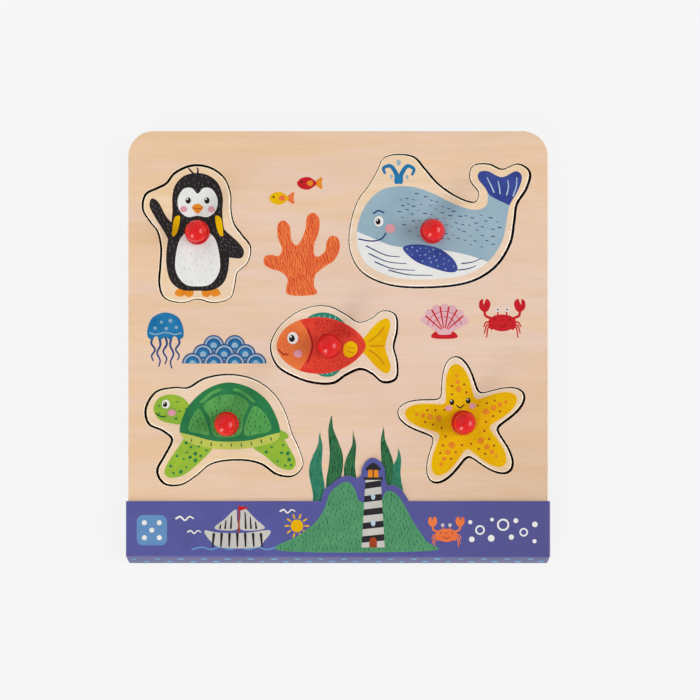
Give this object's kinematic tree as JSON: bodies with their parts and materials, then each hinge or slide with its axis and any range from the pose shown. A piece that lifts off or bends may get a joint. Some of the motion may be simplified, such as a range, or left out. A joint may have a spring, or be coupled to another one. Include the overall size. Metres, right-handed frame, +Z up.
{
  "type": "wooden inset puzzle",
  "caption": "Square wooden inset puzzle board with lift-out knobbed sea animal pieces in matching recesses, and a printed card sleeve over its lower edge.",
  "frame": {"origin": "under the middle of the packed puzzle, on the plane it lies on", "axes": "+X to the picture's right, +Y to the picture's top, +Z up out of the board's face"},
  "size_m": [0.2274, 0.233, 0.0239],
  "materials": {
    "frame_plywood": "satin pale plywood with printed figures",
    "backing_plywood": "plain sanded plywood, recess floors printed dark",
    "whale_wood": "satin blue print on plywood",
    "penguin_wood": "satin black print on plywood",
    "fish_wood": "satin red print on plywood",
    "turtle_wood": "satin green print on plywood",
    "starfish_wood": "satin yellow print on plywood",
    "knob_lacquer": "gloss red lacquer on turned wood",
    "dowel_wood": "bare beech",
    "sleeve_card": "matt violet printed card"
  },
  "bodies": {
    "board": {"frame_board": "frame_plywood", "backing_board": "backing_plywood"},
    "whale": {"whale_piece": "whale_wood", "whale_knob": "knob_lacquer", "whale_dowel": "dowel_wood"},
    "penguin": {"penguin_piece": "penguin_wood", "penguin_knob": "knob_lacquer", "penguin_dowel": "dowel_wood"},
    "fish": {"fish_piece": "fish_wood", "fish_knob": "knob_lacquer", "fish_dowel": "dowel_wood"},
    "turtle": {"turtle_piece": "turtle_wood", "turtle_knob": "knob_lacquer", "turtle_dowel": "dowel_wood"},
    "starfish": {"starfish_piece": "starfish_wood", "starfish_knob": "knob_lacquer", "starfish_dowel": "dowel_wood"},
    "sleeve": {"card_sleeve": "sleeve_card"}
  },
  "joints": [
    {"name": "whale_lift", "type": "slide", "parent": "board", "child": "whale", "axis": [0, 0, 1], "range_m": [0, 0.03]},
    {"name": "penguin_lift", "type": "slide", "parent": "board", "child": "penguin", "axis": [0, 0, 1], "range_m": [0, 0.03]},
    {"name": "fish_lift", "type": "slide", "parent": "board", "child": "fish", "axis": [0, 0, 1], "range_m": [0, 0.03]},
    {"name": "turtle_lift", "type": "slide", "parent": "board", "child": "turtle", "axis": [0, 0, 1], "range_m": [0, 0.03]},
    {"name": "starfish_lift", "type": "slide", "parent": "board", "child": "starfish", "axis": [0, 0, 1], "range_m": [0, 0.03]},
    {"name": "sleeve_pull", "type": "slide", "parent": "board", "child": "sleeve", "axis": [0, -1, 0], "range_m": [0, 0.06]}
  ]
}
